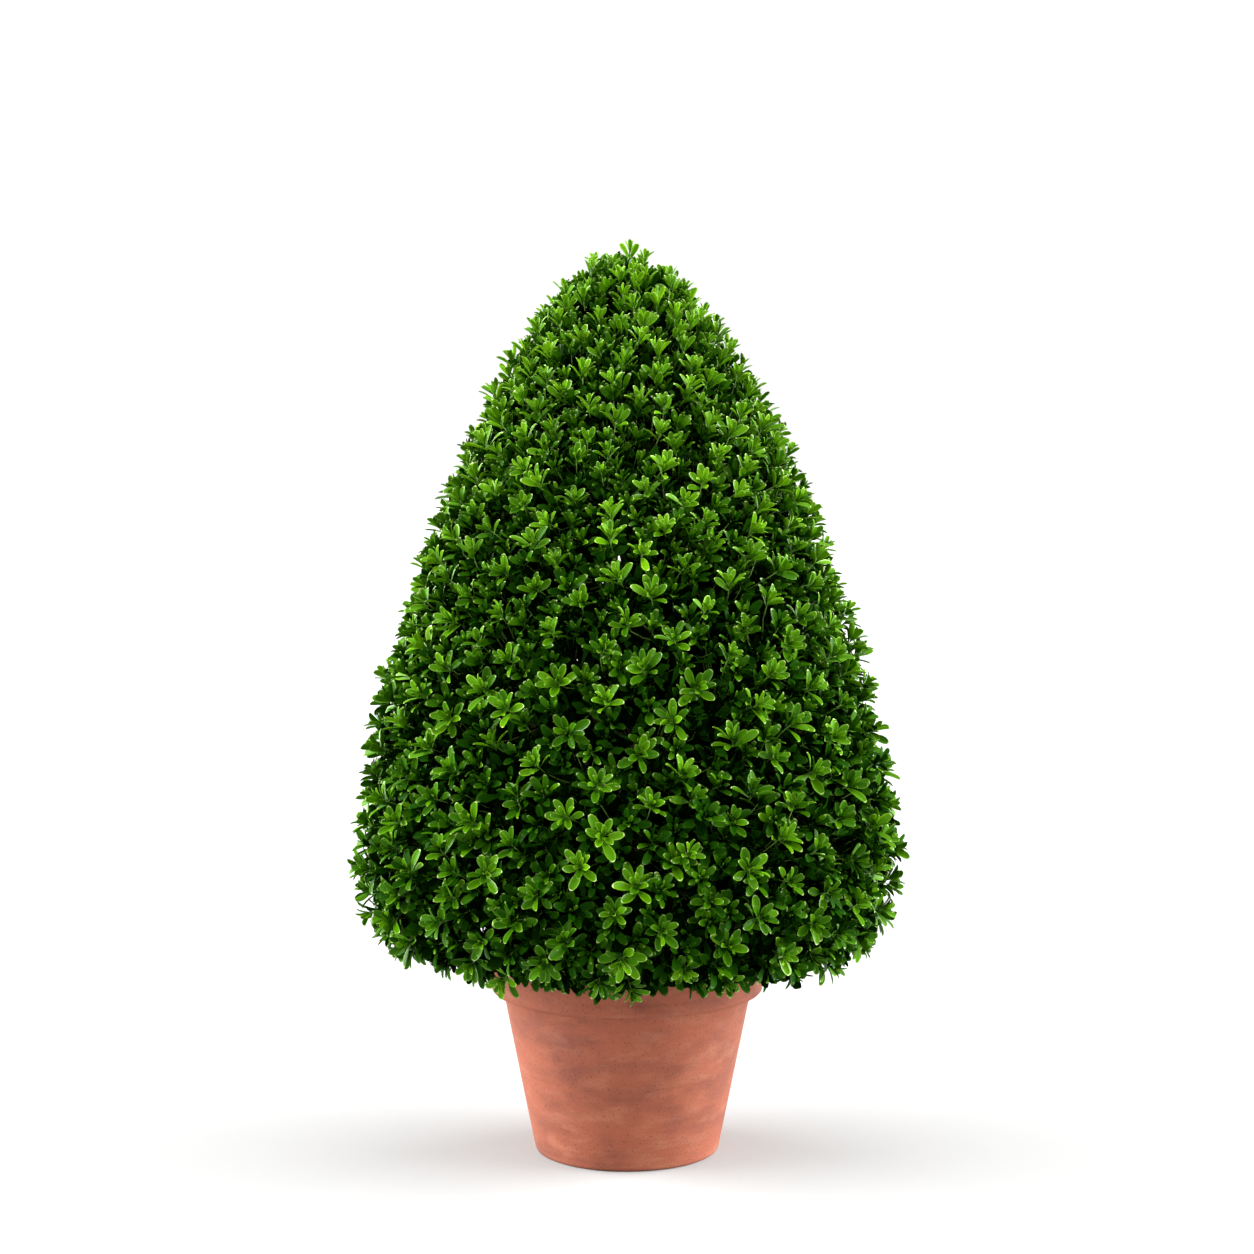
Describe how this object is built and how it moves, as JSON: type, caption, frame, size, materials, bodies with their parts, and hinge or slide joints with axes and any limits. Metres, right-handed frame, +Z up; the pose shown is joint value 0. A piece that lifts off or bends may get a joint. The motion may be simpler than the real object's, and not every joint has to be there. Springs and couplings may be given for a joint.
{
  "type": "potted boxwood cone",
  "caption": "Evergreen boxwood clipped to a tall round-topped cone of small oval leaves, growing in a plain round clay pot that stands flat on the ground.",
  "frame": {"origin": "centre of the pot's flat underside", "axes": "+Z up through the stem to the tip of the crown; -Z out of the pot's underside; the picture looks along +Y, so the plant's right in the picture is +X"},
  "size_m": [0.935, 0.9411, 1.5637],
  "materials": {
    "foliage": "satin",
    "bark": "matte",
    "clay": "matte",
    "soil": "matte"
  },
  "bodies": {
    "root": {"pot": "clay", "potting_soil": "soil", "stem": "bark", "leader": "bark", "bough_lower_1": "bark", "bough_lower_2": "bark", "bough_lower_3": "bark", "bough_lower_4": "bark", "bough_lower_5": "bark", "bough_lower_6": "bark", "bough_middle_1": "bark", "bough_middle_2": "bark", "bough_middle_3": "bark", "bough_middle_4": "bark", "bough_middle_5": "bark", "bough_upper_1": "bark", "bough_upper_2": "bark", "bough_upper_3": "bark", "bough_upper_4": "bark", "foliage_lower_1": "foliage", "foliage_lower_2": "foliage", "foliage_lower_3": "foliage", "foliage_lower_4": "foliage", "foliage_lower_5": "foliage", "foliage_lower_6": "foliage", "foliage_middle_1": "foliage", "foliage_middle_2": "foliage", "foliage_middle_3": "foliage", "foliage_middle_4": "foliage", "foliage_middle_5": "foliage", "foliage_upper_1": "foliage", "foliage_upper_2": "foliage", "foliage_upper_3": "foliage", "foliage_upper_4": "foliage", "foliage_top": "foliage"}
  },
  "joints": []
}
